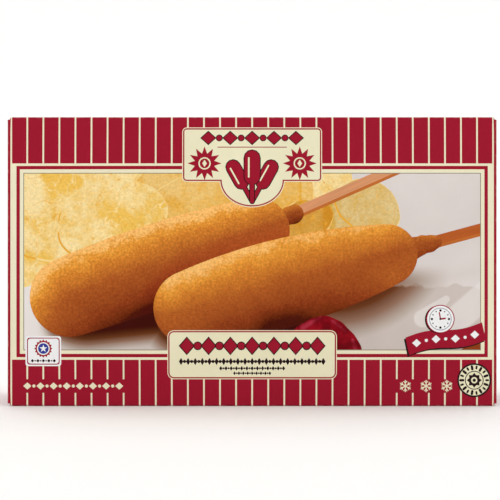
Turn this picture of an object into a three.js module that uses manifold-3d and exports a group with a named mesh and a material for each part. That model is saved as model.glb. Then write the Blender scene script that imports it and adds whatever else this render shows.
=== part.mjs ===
// A shut end-loading folding carton of paperboard, for frozen food.
// Millimetres, +Z up. It stands on its bottom panel with its front facing -Y.
// The origin is the middle of the bottom panel.

import * as THREE from 'three';
import { mergeVertices } from 'three/addons/utils/BufferGeometryUtils.js';
import Module from 'manifold-3d';

// Driving dimensions
const CARTON_WIDTH = 228.6; // 9 in, over the outer faces of the two ends
const CARTON_DEPTH = 70; // front to back, at the long folds
const CARTON_HEIGHT = 135; // bottom to top, at the long folds
const BOARD = 0.5; // thickness of the boxboard
const FACE_BULGE = 2; // how far the front and the back swell at their middles
const TOP_BULGE = 0.8; // how far the top swells at its middle
const FLAP_REACH = 52; // length of each closing flap from its fold
const FLAP_SHORTFALL = 1.2; // gap between a closing flap's side and the long fold beside it
const FLAP_TAPER = 2.5; // how far each side of a closing flap slants in by its free edge
const FLAP_CORNER = 3; // size of the rounded corners at a closing flap's free edge
const SEAM_GAP = 1.2; // how far the bottom panel's cut edge stays short of the back

// Fineness of the surface
const FACE_STEPS = 12; // up the front and the back
const TOP_STEPS = 6; // across the top
const LENGTH_STEPS = 26; // along the carton
const ARC_STEPS = 4; // round each fold

const BOARD_COLOUR = '#9c1d31';
const BOARD_ROUGHNESS = 0.4;

// The four panels end two boards below each end face: the dust flaps lie there, under an
// inner closing flap that turns in from the back and an outer one from the front.
const CORE_LENGTH = CARTON_WIDTH - 4 * BOARD;
const INNER_FLAP_RISE = BOARD;
const OUTER_FLAP_RISE = 2 * BOARD;
const FOLD_RADIUS = 2 * BOARD;
const HALF_DEPTH = CARTON_DEPTH / 2;
const CLEARANCE = 5; // how far a cutting shape reaches past what it cuts
const QUARTER_TURN = Math.PI / 2;
const MERGE_DISTANCE = 1e-4;

const wasm = await Module();
wasm.setup();

function toSolid(geometry) {
	geometry.deleteAttribute('normal');
	geometry.deleteAttribute('uv');
	const merged = mergeVertices(geometry, MERGE_DISTANCE);
	return new wasm.Manifold(new wasm.Mesh({
		numProp: 3,
		vertProperties: merged.attributes.position.array,
		triVerts: new Uint32Array(merged.index.array),
	}));
}

function toGeometry(solid) {
	const mesh = solid.getMesh();
	const geometry = new THREE.BufferGeometry();
	geometry.setAttribute('position', new THREE.BufferAttribute(mesh.vertProperties, 3));
	geometry.setIndex(new THREE.BufferAttribute(mesh.triVerts, 1));
	geometry.computeVertexNormals();
	return geometry;
}

// Extrudes an outline of the YZ plane along X, evenly about the middle of the carton.
function extrudeAlongX(outline, length, steps = 1) {
	const geometry = new THREE.ExtrudeGeometry(outline, { depth: length, steps, bevelEnabled: false });
	geometry.translate(0, 0, -length / 2);
	const yzx = new THREE.Matrix4().makeBasis(
		new THREE.Vector3(0, 1, 0),
		new THREE.Vector3(0, 0, 1),
		new THREE.Vector3(1, 0, 0),
	);
	return geometry.applyMatrix4(yzx);
}

// The quarter circle of a fold, counter-clockwise from the given angle.
function foldPoints(y, z, startAngle) {
	const endAngle = startAngle + QUARTER_TURN;
	return new THREE.EllipseCurve(y, z, FOLD_RADIUS, FOLD_RADIUS, startAngle, endAngle).getPoints(ARC_STEPS);
}

// Points along a side of the section, without its two ends.
function sidePoints(from, to, steps) {
	return new THREE.LineCurve(from, to).getPoints(steps).slice(1, -1);
}

// The section across the carton: three rounded folds, and at the foot of the back the
// maker's seam, where the bottom panel's cut edge lies on the back's glued flap.
function sectionOutline() {
	const foldY = HALF_DEPTH - FOLD_RADIUS;
	const foldZ = CARTON_HEIGHT - FOLD_RADIUS;
	const bottomFront = foldPoints(-foldY, FOLD_RADIUS, Math.PI);
	const seam = [
		new THREE.Vector2(HALF_DEPTH - SEAM_GAP, 0),
		new THREE.Vector2(HALF_DEPTH - SEAM_GAP, BOARD),
		...foldPoints(foldY, BOARD + FOLD_RADIUS, -QUARTER_TURN),
	];
	const topBack = foldPoints(foldY, foldZ, 0);
	const topFront = foldPoints(-foldY, foldZ, QUARTER_TURN);
	return new THREE.Shape([
		...bottomFront,
		...seam,
		...sidePoints(seam.at(-1), topBack[0], FACE_STEPS),
		...topBack,
		...sidePoints(topBack.at(-1), topFront[0], TOP_STEPS),
		...topFront,
		...sidePoints(topFront.at(-1), bottomFront[0], FACE_STEPS),
	]);
}

// How much a panel swells: 1 at its middle, 0 at its folds and ends.
function swell(across, width, along) {
	const t = (across - FOLD_RADIUS) / (width - 2 * FOLD_RADIUS);
	return Math.sin(Math.PI * THREE.MathUtils.clamp(t, 0, 1)) * (1 - (2 * along / CORE_LENGTH) ** 4);
}

function bulgePanels(geometry) {
	const position = geometry.attributes.position;
	for (let i = 0; i < position.count; i++) {
		const x = position.getX(i);
		const y = position.getY(i);
		const z = position.getZ(i);
		position.setY(i, y + Math.sign(y) * FACE_BULGE * swell(z, CARTON_HEIGHT, x));
		if (z > CARTON_HEIGHT / 2) {
			position.setZ(i, z + TOP_BULGE * swell(y + HALF_DEPTH, CARTON_DEPTH, x));
		}
	}
	return geometry;
}

// What comes off the square top edge of the +X end to round the fold of its dust flap.
function edgeTrimming() {
	const outline = new THREE.Shape();
	outline.moveTo(FOLD_RADIUS, 0);
	outline.lineTo(FOLD_RADIUS + CLEARANCE, 0);
	outline.lineTo(FOLD_RADIUS + CLEARANCE, FOLD_RADIUS + CLEARANCE);
	outline.lineTo(0, FOLD_RADIUS + CLEARANCE);
	outline.lineTo(0, FOLD_RADIUS);
	outline.absarc(0, 0, FOLD_RADIUS, QUARTER_TURN, 0, true);
	const length = CARTON_DEPTH + 2 * CLEARANCE;
	const geometry = new THREE.ExtrudeGeometry(outline, {
		depth: length,
		bevelEnabled: false,
		curveSegments: ARC_STEPS,
	});
	geometry.translate(0, 0, -length / 2);
	geometry.rotateX(QUARTER_TURN);
	geometry.translate(CORE_LENGTH / 2 - FOLD_RADIUS, 0, CARTON_HEIGHT - FOLD_RADIUS);
	return geometry;
}

// A flap that closes the +X end, turned in from the front panel. Its outer face lies "rise"
// beyond the ends of the four panels.
function closingFlap(rise) {
	const section = new THREE.Shape();
	section.moveTo(0, 0);
	section.absarc(0, rise, rise, -QUARTER_TURN, 0, false);
	section.lineTo(rise, FLAP_REACH);
	section.lineTo(-BOARD, FLAP_REACH);
	section.lineTo(-BOARD, rise);
	const bentBoard = new THREE.ExtrudeGeometry(section, {
		depth: CARTON_HEIGHT,
		bevelEnabled: false,
		curveSegments: ARC_STEPS,
	});
	bentBoard.translate(CORE_LENGTH / 2, -HALF_DEPTH, 0);

	const foldY = -HALF_DEPTH;
	const freeY = FLAP_REACH - HALF_DEPTH;
	const foldLow = FLAP_SHORTFALL;
	const foldHigh = CARTON_HEIGHT - FLAP_SHORTFALL;
	const freeLow = foldLow + FLAP_TAPER;
	const freeHigh = foldHigh - FLAP_TAPER;
	const face = new THREE.Shape();
	face.moveTo(foldY - CLEARANCE, foldLow);
	face.lineTo(foldY, foldLow);
	face.lineTo(freeY - FLAP_CORNER, freeLow);
	face.quadraticCurveTo(freeY, freeLow, freeY, freeLow + FLAP_CORNER);
	face.lineTo(freeY, freeHigh - FLAP_CORNER);
	face.quadraticCurveTo(freeY, freeHigh, freeY - FLAP_CORNER, freeHigh);
	face.lineTo(foldY, foldHigh);
	face.lineTo(foldY - CLEARANCE, foldHigh);
	const cutShape = extrudeAlongX(face, CARTON_WIDTH + CLEARANCE);

	return toGeometry(toSolid(bentBoard).intersect(toSolid(cutShape)));
}

// Half turns about the middle of the carton, to the other end and to the other side.
function toOtherEnd(geometry) {
	return geometry.clone().rotateY(Math.PI).translate(0, 0, CARTON_HEIGHT);
}

function toOtherSide(geometry) {
	return geometry.clone().rotateX(Math.PI).translate(0, 0, CARTON_HEIGHT);
}

function withTwin(geometry) {
	return [geometry, toOtherEnd(geometry)];
}

function cartonGeometry() {
	let carton = toSolid(bulgePanels(extrudeAlongX(sectionOutline(), CORE_LENGTH, LENGTH_STEPS)));
	const trimming = edgeTrimming();
	for (const edge of [...withTwin(trimming), ...withTwin(toOtherSide(trimming))]) {
		carton = carton.subtract(toSolid(edge));
	}
	const innerFlap = toOtherSide(closingFlap(INNER_FLAP_RISE));
	const outerFlap = closingFlap(OUTER_FLAP_RISE);
	for (const flap of [...withTwin(innerFlap), ...withTwin(outerFlap)]) {
		carton = carton.add(toSolid(flap));
	}
	return toGeometry(carton);
}

const carton = new THREE.Mesh(
	cartonGeometry(),
	new THREE.MeshStandardMaterial({ color: BOARD_COLOUR, roughness: BOARD_ROUGHNESS, metalness: 0 }),
);
carton.name = 'carton';

const part = new THREE.Group();
part.add(carton);

export default part;
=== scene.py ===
"""A shut, printed paperboard carton for frozen food, standing on a pale studio floor.

The print is drawn on the carton's flat blank, as outlines that lie over one another. They cut
the blank into regions of one ink each, and every region is folded up as a piece of its own.
On the blank, u runs along the carton from its middle and v runs round it: 0 is the fold
between bottom and front, and the front, the top and the back follow as v grows. So on the
front panel u is the distance to the right of its middle and v the height above its foot.
"""

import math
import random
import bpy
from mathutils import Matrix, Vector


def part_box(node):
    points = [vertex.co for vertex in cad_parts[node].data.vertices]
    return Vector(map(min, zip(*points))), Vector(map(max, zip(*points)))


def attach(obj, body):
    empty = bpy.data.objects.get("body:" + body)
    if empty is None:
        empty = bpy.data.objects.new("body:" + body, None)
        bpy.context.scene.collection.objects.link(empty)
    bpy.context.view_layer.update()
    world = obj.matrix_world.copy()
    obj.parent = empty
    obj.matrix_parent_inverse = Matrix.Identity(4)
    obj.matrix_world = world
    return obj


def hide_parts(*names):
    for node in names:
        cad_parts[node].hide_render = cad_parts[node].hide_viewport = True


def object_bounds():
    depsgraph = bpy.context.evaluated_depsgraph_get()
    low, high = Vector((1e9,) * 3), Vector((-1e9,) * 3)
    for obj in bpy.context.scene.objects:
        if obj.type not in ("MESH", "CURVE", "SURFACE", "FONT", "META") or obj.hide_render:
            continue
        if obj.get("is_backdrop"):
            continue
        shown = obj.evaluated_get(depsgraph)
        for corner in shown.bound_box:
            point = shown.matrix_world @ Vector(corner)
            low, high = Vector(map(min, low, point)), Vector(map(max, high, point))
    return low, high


bl_info = {
    "name": "Frozen Food Carton",
    "version": (1, 0, 0),
    "blender": (4, 5, 0),
    "location": "3D View > Sidebar > Carton",
    "description": "Builds a printed folding carton from its flat blank",
    "category": "Add Mesh",
}

from collections import namedtuple

import bpy
from bpy.props import FloatProperty, FloatVectorProperty, IntProperty, PointerProperty
from mathutils import Matrix, Vector
from mathutils.geometry import delaunay_2d_cdt

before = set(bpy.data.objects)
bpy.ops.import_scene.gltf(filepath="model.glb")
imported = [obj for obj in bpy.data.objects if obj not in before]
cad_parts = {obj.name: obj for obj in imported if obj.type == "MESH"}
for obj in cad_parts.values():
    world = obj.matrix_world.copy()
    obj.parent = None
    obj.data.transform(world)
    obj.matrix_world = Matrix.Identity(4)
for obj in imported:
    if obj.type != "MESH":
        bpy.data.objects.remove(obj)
cad_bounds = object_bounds()

MM = 0.001
QUARTER_TURN = math.pi / 2


# --- Sizes and colours ---


def ink(red, green, blue):
    """A colour as it is printed, from 0 to 255, as the linear values that Blender takes."""
    levels = (level / 255 for level in (red, green, blue))
    return tuple(x / 12.92 if x <= 0.04045 else ((x + 0.055) / 1.055) ** 2.4 for x in levels)


def size_property(name, description, millimetres):
    """A length, given in millimetres."""
    default = millimetres * MM
    return FloatProperty(name=name, description=description, default=default, unit="LENGTH")


def place_property(name, description, u, v):
    """A place on the front panel, given in millimetres."""
    kind = {"default": (u * MM, v * MM), "size": 2, "unit": "LENGTH"}
    return FloatVectorProperty(name=name, description=description, **kind)


def angle_property(name, description, degrees):
    """An angle, given in degrees."""
    default = math.radians(degrees)
    return FloatProperty(name=name, description=description, default=default, unit="ROTATION")


def power_property(name, description, watts):
    """What a lamp gives, in watts."""
    return FloatProperty(name=name, description=description, default=watts, unit="POWER")


def colour_property(name, description, red, green, blue):
    """A colour, given as it is printed, from 0 to 255."""
    default = ink(red, green, blue)
    return FloatVectorProperty(name=name, description=description, default=default, subtype="COLOR")


class CartonSizes(bpy.types.PropertyGroup):
    """The board, its folds and its flaps. The carton's outer size comes from the CAD frame."""

    board: size_property("Board", "Thickness of the boxboard", 0.5)
    fold_radius: size_property("Fold radius", "Outside radius of the long folds", 1.0)
    face_bulge: size_property("Face bulge", "How far the front and the back swell", 2.0)
    top_bulge: size_property("Top bulge", "How far the top swells", 0.8)
    seam_gap: size_property("Seam gap", "From the bottom's cut edge to the back", 1.2)
    seam_flap: size_property("Seam flap", "How much of the glued flap is made", 8.0)
    flap_reach: size_property("Flap reach", "Length of the closing flaps", 52.0)
    flap_shortfall: size_property("Flap shortfall", "From a closing flap's side to the long fold", 1.2)
    flap_taper: size_property("Flap taper", "How far a closing flap's sides slant in", 2.5)
    flap_corner: size_property("Flap corner", "Rounding of a flap's free corners", 3.0)
    dust_flap_reach: size_property("Dust flap reach", "Length of the dust flaps", 35.0)


class PrintSizes(bpy.types.PropertyGroup):
    """Stripes, frames and plaques, as printed on the front panel."""

    stripe_pitch: size_property("Stripe pitch", "From one pinstripe to the next", 7.5)
    stripe_width: size_property("Stripe width", "Width of a pinstripe", 0.77)
    stripe_count: IntProperty(name="Stripes", description="Pinstripes across a panel", default=31)
    flap_line_count: IntProperty(name="Flap lines", description="Lines up a closing flap", default=19)
    flap_line_start: size_property("Flap line start", "From the end fold to a flap's lines", 1.0)
    band: size_property("Striped band", "From the long folds to the frame", 21.7)
    frame_half_width: size_property("Frame half width", "From the middle to the frame's side", 112.8)
    frame_outer: size_property("Outer frame line", "Cream line at the frame's top and foot", 1.15)
    frame_outer_side: size_property("Outer side line", "Cream line at the frame's sides", 2.75)
    frame_red: size_property("Red frame line", "Width of the red line", 1.6)
    frame_inner: size_property("Inner frame line", "Width of the inner cream line", 1.65)
    keyline: size_property("Keyline", "Width of the grey line round the picture", 0.36)
    plaque_rim: size_property("Plaque rim", "Cream rim outside a plaque's red line", 0.37)
    plaque_line: size_property("Plaque line", "Red line round a plaque", 0.62)
    plaque_corner: size_property("Plaque corner", "Corner radius of a plaque", 2.0)
    crest_half_width: size_property("Crest half width", "Half the crest's width", 32.6)
    crest_foot: size_property("Crest foot", "Height of the crest's straight foot", 104.7)
    crest_head: size_property("Crest head", "Height of the crest's top edge", 130.1)
    crest_drop_half_width: size_property("Crest drop half width", "Half the drop's width", 15.2)
    crest_drop_half_height: size_property("Crest drop half height", "Half the drop's height", 12.8)
    crest_drop_height: size_property("Crest drop height", "Height of the drop's centre", 105.6)
    title_half_width: size_property("Title half width", "Half the title plaque's width", 39.5)
    title_foot: size_property("Title foot", "Height of the title plaque's foot", 12.6)
    title_head: size_property("Title head", "Height of the title plaque's top edge", 35.5)


class PictureSizes(bpy.types.PropertyGroup):
    """The two corn dogs of the picture, as rounded bodies that lie on the panel."""

    front_tip: place_property("Front tip", "Centre of the near corn dog's round tip", -28.4, 45.9)
    front_end: place_property("Front end", "Centre of its end by the stick", 62.8, 70.6)
    front_tip_radius: size_property("Front tip radius", "Radius at its tip", 17.6)
    front_end_radius: size_property("Front end radius", "Radius at its end by the stick", 14.3)
    front_belly: size_property("Front belly", "How much it swells in its middle", 4.6)
    front_collar: size_property("Front collar", "How far its batter reaches along the stick", 12.2)
    front_collar_root: size_property("Front collar root", "Radius of its collar in the batter", 5.9)
    front_collar_edge: size_property("Front collar edge", "Radius of its collar on the stick", 3.1)
    front_stick: size_property("Front stick", "Width of its stick", 5.8)
    front_lie: angle_property("Front lie", "Angle of its stick from level", 15.0)
    back_tip: place_property("Back tip", "Centre of the far corn dog's round tip", -85.2, 51.0)
    back_end: place_property("Back end", "Centre of its end by the stick", 2.0, 82.0)
    back_tip_radius: size_property("Back tip radius", "Radius at its tip", 18.6)
    back_end_radius: size_property("Back end radius", "Radius at its end by the stick", 15.5)
    back_belly: size_property("Back belly", "How much it swells in its middle", 2.4)
    back_collar: size_property("Back collar", "How far its batter reaches along the stick", 8.2)
    back_collar_root: size_property("Back collar root", "Radius of its collar in the batter", 3.6)
    back_collar_edge: size_property("Back collar edge", "Radius of its collar on the stick", 4.2)
    back_stick: size_property("Back stick", "Width of its stick", 5.4)
    back_lie: angle_property("Back lie", "Angle of its stick from level", 23.7)


class PrintColours(bpy.types.PropertyGroup):
    """Flat inks of the print, and the bare board."""

    red: colour_property("Red", "Ground of the carton, and its red lines and ornaments", 156, 28, 48)
    cream: colour_property("Cream", "Pinstripes and frame lines", 237, 230, 200)
    plaque: colour_property("Plaque", "Cream of the plaques", 235, 230, 197)
    keyline: colour_property("Keyline", "Line round the picture", 138, 132, 112)
    black: colour_property("Black", "Outlines and small ornaments", 42, 26, 28)
    white: colour_property("White", "Clock face, sticker and ribbon ornaments", 240, 241, 242)
    steel: colour_property("Steel", "Clock rim", 168, 170, 174)
    blue: colour_property("Blue", "Centre of the sticker", 52, 62, 148)
    board: colour_property("Board", "Bare boxboard at cut edges and worn folds", 205, 192, 170)


class PictureColours(bpy.types.PropertyGroup):
    """Tones of the pictured food and of the plate under it."""

    batter_deep: colour_property("Batter, deep", "Underside in shadow", 76, 24, 6)
    batter_low: colour_property("Batter, low", "Underside", 140, 61, 26)
    batter_middle: colour_property("Batter, middle", "Middle of the batter", 175, 92, 38)
    batter_high: colour_property("Batter, high", "Upper side", 210, 129, 47)
    batter_bright: colour_property("Batter, bright", "Upper side near the edge", 231, 156, 59)
    batter_gleam: colour_property("Batter, gleam", "Top edge in the light", 248, 191, 111)
    chip_pale: colour_property("Chip, pale", "Pale chips", 240, 212, 144)
    chip_golden: colour_property("Chip, golden", "Golden chips", 230, 188, 107)
    chip_deep: colour_property("Chip, deep", "Chips in half shade", 209, 156, 68)
    chip_olive: colour_property("Chip, olive", "Greenish chips", 216, 187, 122)
    chip_rim: colour_property("Chip rim", "Fried edge of a chip", 235, 172, 56)
    plate: colour_property("Plate", "Plate in the light", 220, 212, 208)
    plate_gleam: colour_property("Plate, gleam", "Streaks of light on the plate", 232, 226, 223)
    shade_pale: colour_property("Shade, pale", "Faint shadow on the plate", 181, 166, 155)
    shade_middle: colour_property("Shade, middle", "Half shadow on the plate", 144, 110, 91)
    shade_brown: colour_property("Shade, brown", "Shadow on the plate close to the food", 105, 59, 32)
    shadow: colour_property("Shadow", "Darkest shadow under the food", 62, 18, 5)
    front_stick: colour_property("Front stick", "Upper face of the near stick", 181, 92, 42)
    front_stick_side: colour_property("Front stick's side", "Lower face of the near stick", 187, 106, 48)
    back_stick: colour_property("Back stick", "Upper face of the far stick", 214, 149, 106)
    back_stick_side: colour_property("Back stick's side", "Lower face of the far stick", 191, 107, 50)
    sauce: colour_property("Sauce", "Red sauce", 128, 15, 26)
    sauce_gleam: colour_property("Sauce gleam", "Light on the sauce", 190, 62, 84)


class StudioSettings(bpy.types.PropertyGroup):
    """Camera, light and floor."""

    lens: FloatProperty(name="Lens", description="Focal length in millimetres", default=110.0)
    view_width: size_property("View width", "Width seen at the front panel", 233.5)
    camera_side: size_property("Camera side", "Camera's distance to the left of the middle", 1.0)
    camera_height: size_property("Camera height", "Camera's height above the floor", 72.9)
    side_power: power_property("Side lights", "Power of each", 2.1)
    side_size: size_property("Side light size", "Width of each side light", 900)
    top_power: power_property("Top light", "Power of the light overhead", 9.6)
    top_size: size_property("Top light size", "Width of the light overhead", 1500)
    sky: FloatProperty(name="Sky", description="Strength of the light from all round", default=0.44)
    floor: colour_property("Floor", "Pale studio paper", 251, 250, 249)


# --- The blank, and how it folds up ---


def bend(distance, radius):
    """Takes a line round a square fold at distance 0. Returns how far a point of it then lies
    along the first direction and along the second, and how far the line has turned there."""
    if distance <= -radius:
        return distance, 0.0, 0.0
    if distance >= radius:
        return 0.0, distance, QUARTER_TURN
    turn = (distance + radius) / (2 * radius) * QUARTER_TURN
    return radius * (math.sin(turn) - 1), radius * (1 - math.cos(turn)), turn


class Blank:
    """The carton's board, flat and folded up."""

    GRID = 6 * MM  # the most between the cuts that let a panel swell smoothly
    HAIR = 0.01 * MM  # a step for measuring slopes, and for telling a flap's side from its panel

    def __init__(self, sizes):
        low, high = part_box("carton")
        self.sizes = sizes
        self.depth = high.y - low.y - 2 * sizes.face_bulge
        self.height = high.z - low.z - sizes.top_bulge
        self.half_width = (high.x - low.x) / 2
        # The panels end two boards below the end faces, under an outer and an inner flap.
        self.half_length = self.half_width - 2 * sizes.board
        self.top = self.height
        self.back = self.height + self.depth
        self.seam = self.back + self.height - sizes.board
        self.first = sizes.seam_gap - self.depth
        self.last = self.seam + sizes.seam_flap
        middle = self.depth / 2
        # Each long fold: its v, its (y, z) on the shut carton, and the way to it across the
        # panel before it.
        self.folds = (
            (0.0, Vector((-middle, 0)), Vector((-1, 0))),
            (self.top, Vector((-middle, self.height)), Vector((0, 1))),
            (self.back, Vector((middle, self.height)), Vector((1, 0))),
            (self.seam, Vector((middle, sizes.board)), Vector((0, -1))),
        )

    def end_fold(self, v):
        """How far from the middle the end fold lies beside v, and its radius."""
        board, short = self.sizes.board, self.sizes.flap_shortfall - self.HAIR
        if short <= v <= self.height - short:
            return self.half_length + 2 * board, 2 * board
        if short <= v - self.back <= self.height - short:
            return self.half_length + board, board
        return self.half_length, self.sizes.fold_radius

    def swell(self, u, v):
        """How far the panel stands out at a point."""
        sizes = self.sizes
        panels = (
            (0.0, self.height, sizes.face_bulge),
            (self.top, self.depth, sizes.top_bulge),
            (self.back, self.height, sizes.face_bulge),
        )
        for start, length, bulge in panels:
            share = (v - start - sizes.fold_radius) / (length - 2 * sizes.fold_radius)
            if 0 < share < 1 and abs(u) < self.half_length:
                return bulge * math.sin(math.pi * share) * (1 - (u / self.half_length) ** 4)
        return 0.0

    def fold(self, u, v, inset=0.0):
        """The place and the outward normal of a point of the blank on the shut carton."""
        start, corner, way = min(self.folds, key=lambda fold: abs(v - fold[0]))
        along, drop, turn = bend(v - start, self.sizes.fold_radius)
        out = Vector((-way.y, way.x))
        point = corner + way * along - out * drop
        out, way = (
            out * math.cos(turn) + way * math.sin(turn),
            way * math.cos(turn) - out * math.sin(turn),
        )
        distance, radius = self.end_fold(v)
        along, drop, turn = bend(abs(u) - distance, radius)
        side = math.copysign(1, u)
        step = self.HAIR
        slope_u = (self.swell(u + step, v) - self.swell(u - step, v)) / (2 * step)
        slope_v = (self.swell(u, v + step) - self.swell(u, v - step)) / (2 * step)
        normal = Vector((side * math.sin(turn), *(out * math.cos(turn))))
        place = Vector((side * (distance + along), *(point - out * drop)))
        place += normal * (self.swell(u, v) - inset)
        return place, (normal - Vector((slope_u, *(way * slope_v)))).normalized()

    def crease(self, u, v):
        """1 on a fold, falling to 0 a fold radius beside it."""
        across = min(abs(v - start) for start, _, _ in self.folds)
        distance, _ = self.end_fold(v)
        return max(0.0, 1 - min(across, abs(abs(u) - distance)) / self.sizes.fold_radius)

    def flap(self, side, low, high, fold, reach, taper, corner):
        """Outline of a flap on one end, between two heights v at its fold. Its free corners are
        curves that start level and end upright."""
        free = fold + reach
        foot = [(u, low) for u in sorted({self.half_length, fold})]
        for t in (0, 0.25, 0.5, 0.75, 1):
            foot.append((free - corner * (1 - t) ** 2, low + taper + corner * t**2))
        head = [(u, low + high - v) for u, v in reversed(foot)]
        outline = [(side * u, v) for u, v in foot + head]
        return outline if side > 0 else outline[::-1]

    def outlines(self):
        """Outlines that together cover the board."""
        sizes = self.sizes
        radius, half, short = sizes.fold_radius, self.half_length, sizes.flap_shortfall
        yield rectangle(-half, self.first, half, self.last)
        for low, high in ((self.first, radius), (self.top - radius, self.back + radius)):
            yield rectangle(-half - radius, low, half + radius, high)
        closing_flap = (sizes.flap_reach, sizes.flap_taper, sizes.flap_corner)
        dust_flap = (sizes.dust_flap_reach, sizes.flap_corner, sizes.flap_corner)
        for side in (-1, 1):
            for start, rise in ((0.0, 2 * sizes.board), (self.back, sizes.board)):
                low, high = start + short, start + self.height - short
                yield self.flap(side, low, high, half + rise, *closing_flap)
            for low, high in ((self.first, -radius), (self.top + radius, self.back - radius)):
                yield self.flap(side, low, high, half, *dust_flap)

    def bend_lines(self):
        """Lines along and beside every fold, and level and upright lines between them, which cut
        the board finely enough to bend and to swell."""
        sizes = self.sizes
        steps = (-1, -0.5, 0, 0.5, 1)
        end = self.half_width + sizes.flap_reach
        for start, _, _ in self.folds:
            for step in steps:
                v = start + step * sizes.fold_radius
                yield (-end, v), (end, v)
        # The end folds lie differently on the front, on the top and bottom, and on the back.
        for v in (self.height / 2, -self.depth / 2, self.back + self.height / 2):
            distance, radius = self.end_fold(v)
            for step in steps:
                for side in (-1, 1):
                    u = side * (distance + step * radius)
                    yield (u, self.first), (u, self.last)
        half, radius = self.half_length, sizes.fold_radius
        columns = math.ceil(2 * (half - radius) / self.GRID)
        for column in range(1, columns):
            u = (half - radius) * (2 * column / columns - 1)
            yield (u, self.first), (u, self.last)
        bounds = (self.first, *(start for start, _, _ in self.folds), self.last)
        for low, high in zip(bounds, bounds[1:]):
            rows = math.ceil((high - low - 2 * radius) / self.GRID)
            for row in range(1, rows):
                v = low + radius + (high - low - 2 * radius) * row / rows
                yield (-half, v), (half, v)


# --- Outlines ---


def heading(angle):
    """The direction at an angle from the u axis."""
    return Vector((math.cos(angle), math.sin(angle)))


def rectangle(left, foot, right, head):
    return [(left, foot), (right, foot), (right, head), (left, head)]


def arc(centre, radius, start, end, steps):
    """Points of an arc, both ends included, from one angle to another."""
    angles = (start + (end - start) * i / steps for i in range(steps + 1))
    return [(centre[0] + radius * math.cos(a), centre[1] + radius * math.sin(a)) for a in angles]


def rounded_rectangle(left, foot, right, head, radius):
    corners = ((right, head), (left, head), (left, foot), (right, foot))
    inwards = ((-1, -1), (1, -1), (1, 1), (-1, 1))
    outline = []
    for turn, (corner, inward) in enumerate(zip(corners, inwards)):
        centre = (corner[0] + radius * inward[0], corner[1] + radius * inward[1])
        outline += arc(centre, radius, turn * QUARTER_TURN, (turn + 1) * QUARTER_TURN, 5)
    return outline


def ellipse(centre, half_width, half_height, steps):
    around = arc((0, 0), 1, 0, math.tau, steps)[:-1]
    return [(centre[0] + half_width * x, centre[1] + half_height * y) for x, y in around]


def disc(centre, radius, steps=0):
    """A circle. Unless told, it has six points a millimetre of radius, and at least twelve."""
    return ellipse(centre, radius, radius, steps or max(12, round(radius / MM * 6)))


def lozenge(centre, half_width, half_height):
    u, v = centre
    return [(u + half_width, v), (u, v + half_height), (u - half_width, v), (u, v - half_height)]


def star(centre, outer, inner, points):
    """A star with one of its points at the top."""
    outline = []
    for i in range(2 * points):
        angle = math.pi * i / points + QUARTER_TURN
        radius = inner if i % 2 else outer
        outline.append((centre[0] + radius * math.cos(angle), centre[1] + radius * math.sin(angle)))
    return outline


Body = namedtuple("Body", "start end start_radius end_radius belly", defaults=(0.0,))


def body_mm(start, end, start_radius, end_radius=None):
    """A body in millimetres, as thick at its end as at its start if only one radius is given."""
    if end_radius is None:
        end_radius = start_radius
    return Body(Vector(start) * MM, Vector(end) * MM, start_radius * MM, end_radius * MM)


def body_radius(body, share):
    """The radius at a share of the way from start to end. The belly is widest in the middle."""
    taper = body.end_radius - body.start_radius
    return body.start_radius + taper * share + 4 * body.belly * share * (1 - share)


def body_outline(body, steps=36):
    """Outline of the space that a disc fills on its way from start to end."""
    start, end = Vector(body.start), Vector(body.end)
    axis = end - start
    lie = math.atan2(axis.y, axis.x)
    cuts = 24 if body.belly else 1

    def touch(share):
        """The angle from the axis at which the outline touches the disc."""
        widening = body.end_radius - body.start_radius + 4 * body.belly * (1 - 2 * share)
        return math.acos(-widening / axis.length)

    def side(sense, share):
        """The place where it does, on the left of the axis for a sense of 1, else on the right."""
        way = heading(lie + sense * touch(share))
        return tuple(start + axis * share + way * body_radius(body, share))

    outline = arc(end, body.end_radius, lie - touch(1), lie + touch(1), steps)
    outline += [side(1, 1 - i / cuts) for i in range(1, cuts)]
    outline += arc(start, body.start_radius, lie + touch(0), lie + math.tau - touch(0), steps)
    return outline + [side(-1, i / cuts) for i in range(1, cuts)]


def bar(start, end, width):
    """A straight line with round ends."""
    return body_outline(Body(start, end, width / 2, width / 2), steps=6)


# --- Print ---


Outline = namedtuple("Outline", "ink points window")
WINDOW = "window"  # an outline that inks nothing, and only limits what is drawn in it


class Artwork:
    """Outlines on the blank, each drawn over the ones before it."""

    def __init__(self):
        self.outlines = []
        self.window = None
        self.place(0.0)

    def place(self, v, turned=False):
        """Sets where on the blank the drawing's own origin lies, and whether it is turned round."""
        self.origin = Vector((0, v))
        self.sense = -1 if turned else 1

    def draw(self, ink_name, points):
        """Lays an outline of one ink over what is drawn so far."""
        placed = [self.origin + self.sense * Vector(point) for point in points]
        self.outlines.append(Outline(ink_name, placed, self.window))

    def open_window(self, points):
        """Keeps what is drawn from here on inside an outline."""
        self.draw(WINDOW, points)
        self.window = len(self.outlines) - 1

    def close_window(self):
        """Lets what is drawn from here on go anywhere again."""
        self.window = None


def draw_stripes(art, blank, sizes):
    """Pinstripes round the carton, and level lines on the closing flaps."""
    half = sizes.stripe_width / 2
    for i in range(sizes.stripe_count):
        u = (i - (sizes.stripe_count - 1) / 2) * sizes.stripe_pitch
        art.draw("cream_lines", rectangle(u - half, blank.first, u + half, blank.last))
    pitch = blank.height / sizes.flap_line_count
    for i in range(sizes.flap_line_count):
        height = (i + 0.5) * pitch
        for v in (height, blank.back + blank.height - height):
            fold, rise = blank.end_fold(v)
            start, end = fold + rise + sizes.flap_line_start, fold + blank.sizes.flap_reach
            art.draw("cream_lines", rectangle(start, v - half, end, v + half))
            art.draw("cream_lines", rectangle(-end, v - half, -start, v + half))


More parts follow.
